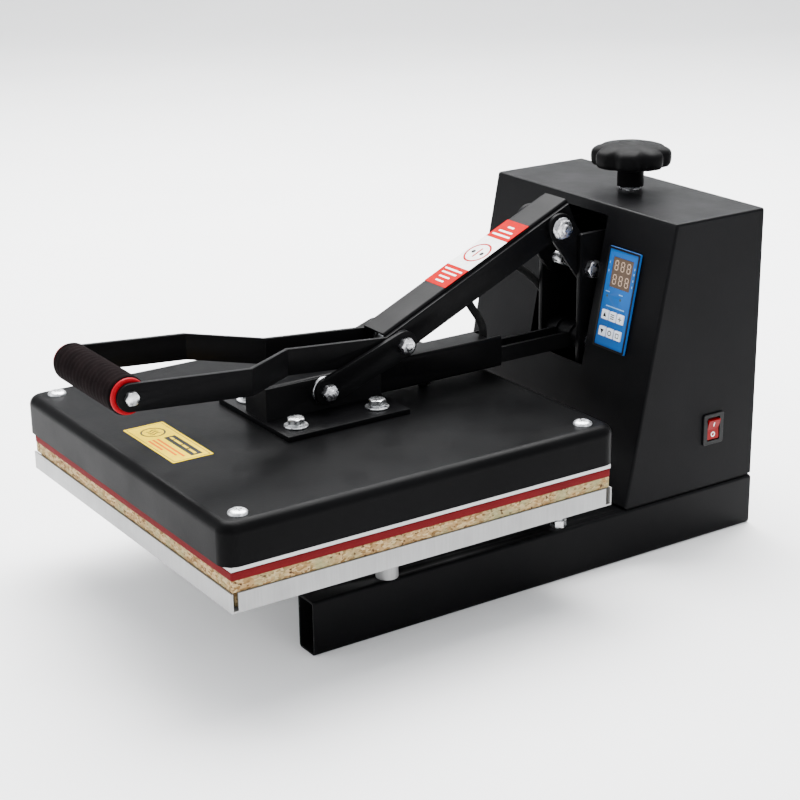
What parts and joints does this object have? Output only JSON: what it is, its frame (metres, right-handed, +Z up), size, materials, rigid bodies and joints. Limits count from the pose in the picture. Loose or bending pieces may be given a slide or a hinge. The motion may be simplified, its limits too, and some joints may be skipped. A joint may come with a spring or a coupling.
{
  "type": "heat press",
  "caption": "Clamshell heat press: heated platen on a hinged arm over a padded tray, toggle lever with fork handle, pressure knob and control cabinet on a rail base.",
  "frame": {"origin": "middle of the footprint box, on the surface that the base rails stand on", "axes": "+Z up, +X to the machine's right, -Y to the front where the handle is"},
  "size_m": [0.384, 0.639, 0.362],
  "materials": {
    "black_powder_coat": "satin black powder coat",
    "cabinet_paint": "satin dark grey powder coat, very fine texture",
    "cover_paint": "satin dark grey powder coat on a pressed cover",
    "tray_aluminium": "bare bent sheet, light brushing",
    "plate_aluminium": "machined face with a dull cast edge",
    "zinc_hardware": "bright zinc plate",
    "chrome_hardware": "polished plate",
    "particle_board": "coarse flecked board edge",
    "silicone_red": "matt brick-red sponge silicone",
    "insulation_wool": "off-white fibre",
    "grip_foam": "dark ribbed foam sleeve",
    "collar_red": "red moulded collar",
    "knob_black": "black moulded phenolic with a soft sheen",
    "fascia_blue": "blue printed overlay",
    "display_glass": "smoked window",
    "board_dark": "board with a display block",
    "housing_black": "moulded black",
    "key_white": "white keycap",
    "switch_red": "red translucent paddle",
    "lead_sleeve": "black sleeve"
  },
  "bodies": {
    "root": {"rail_left": "black_powder_coat", "rail_right": "black_powder_coat", "cross_members": "black_powder_coat", "standoff_sleeves": "tray_aluminium", "tray_bolts": "zinc_hardware", "lower_tray": "tray_aluminium", "press_board": "particle_board", "silicone_pad": "silicone_red", "hinge_shaft": "zinc_hardware", "tower_plate_left": "black_powder_coat", "tower_plate_right": "black_powder_coat", "tower_cross_plates": "black_powder_coat", "tower_foot_bolts": "zinc_hardware", "rocker_pivot_bolt": "chrome_hardware", "cabinet_floor": "black_powder_coat", "cabinet_shell": "cabinet_paint", "cabinet_back_panel": "cabinet_paint", "cabinet_screws": "zinc_hardware", "control_fascia": "fascia_blue", "display_window": "display_glass", "control_board": "board_dark", "control_housing": "housing_black", "power_switch_body": "housing_black", "power_inlet": "housing_black", "solid_state_relay": "housing_black"},
    "arm": {"heat_plate": "plate_aluminium", "heating_element": "zinc_hardware", "insulation": "insulation_wool", "thermocouple": "zinc_hardware", "platen_spacers": "zinc_hardware", "heat_cover": "cover_paint", "cover_screws": "zinc_hardware", "mounting_bolts": "zinc_hardware", "arm_bracket": "black_powder_coat", "arm_tube": "black_powder_coat", "hinge_ears": "black_powder_coat", "arm_pivot_bolt": "chrome_hardware", "heater_lead": "lead_sleeve"},
    "links": {"link_left": "black_powder_coat", "link_right": "black_powder_coat", "link_studs": "chrome_hardware"},
    "lever": {"lever_tube": "black_powder_coat", "fork_bar_left": "black_powder_coat", "fork_bar_right": "black_powder_coat", "lever_bushes": "zinc_hardware", "grip_foam": "grip_foam", "grip_collars": "collar_red", "grip_axle": "zinc_hardware"},
    "rocker": {"rocker": "black_powder_coat", "rocker_bolt": "chrome_hardware", "trunnion_nut": "zinc_hardware"},
    "knob": {"pressure_spindle": "zinc_hardware", "pressure_knob": "knob_black"},
    "switch": {"switch_rocker": "switch_red"},
    "key_1": {"key_1": "key_white"},
    "key_2": {"key_2": "key_white"},
    "key_3": {"key_3": "key_white"},
    "key_4": {"key_4": "key_white"},
    "key_5": {"key_5": "key_white"},
    "key_6": {"key_6": "key_white"}
  },
  "joints": [
    {"name": "arm_hinge", "type": "hinge", "parent": "root", "child": "arm", "pos_m": [0, 0.199, 0.182], "axis": [-1, 0, 0], "range_deg": [0, 45], "deforming": ["heater_lead"]},
    {"name": "lever_pivot", "type": "hinge", "parent": "rocker", "child": "lever", "pos_m": [0, 0.164, 0.298], "axis": [-1, 0, 0], "range_deg": [0, 80.2]},
    {"name": "link_pivot", "type": "hinge", "parent": "arm", "child": "links", "pos_m": [0, -0.096, 0.189], "axis": [1, 0, 0], "range_deg": [0, 73.7]},
    {"name": "pressure_spin", "type": "hinge", "parent": "root", "child": "knob", "pos_m": [0, 0.269, 0.351], "axis": [0, 0, 1], "range_deg": [0, 720]},
    {"name": "rocker_tilt", "type": "hinge", "parent": "root", "child": "rocker", "pos_m": [0, 0.197, 0.255], "axis": [-1, 0, 0], "range_deg": [0, 3.2]},
    {"name": "switch_tilt", "type": "hinge", "parent": "root", "child": "switch", "pos_m": [0.133, 0.263, 0.11], "axis": [0, 1, 0], "range_deg": [-14, 0]},
    {"name": "key_1_press", "type": "slide", "parent": "root", "child": "key_1", "axis": [0, 0.9812, -0.1929], "range_m": [0, 0.0008], "stiffness_N_per_m": 400},
    {"name": "key_2_press", "type": "slide", "parent": "root", "child": "key_2", "axis": [0, 0.9812, -0.1929], "range_m": [0, 0.0008], "stiffness_N_per_m": 400},
    {"name": "key_3_press", "type": "slide", "parent": "root", "child": "key_3", "axis": [0, 0.9812, -0.1929], "range_m": [0, 0.0008], "stiffness_N_per_m": 400},
    {"name": "key_4_press", "type": "slide", "parent": "root", "child": "key_4", "axis": [0, 0.9812, -0.1929], "range_m": [0, 0.0008], "stiffness_N_per_m": 400},
    {"name": "key_5_press", "type": "slide", "parent": "root", "child": "key_5", "axis": [0, 0.9812, -0.1929], "range_m": [0, 0.0008], "stiffness_N_per_m": 400},
    {"name": "key_6_press", "type": "slide", "parent": "root", "child": "key_6", "axis": [0, 0.9812, -0.1929], "range_m": [0, 0.0008], "stiffness_N_per_m": 400}
  ],
  "couplings": [
    {"joint": "lever_pivot", "follows": "arm_hinge", "ratio": 1.7809},
    {"joint": "link_pivot", "follows": "arm_hinge", "ratio": 1.634},
    {"joint": "rocker_tilt", "follows": "pressure_spin", "ratio": 0.004421}
  ]
}
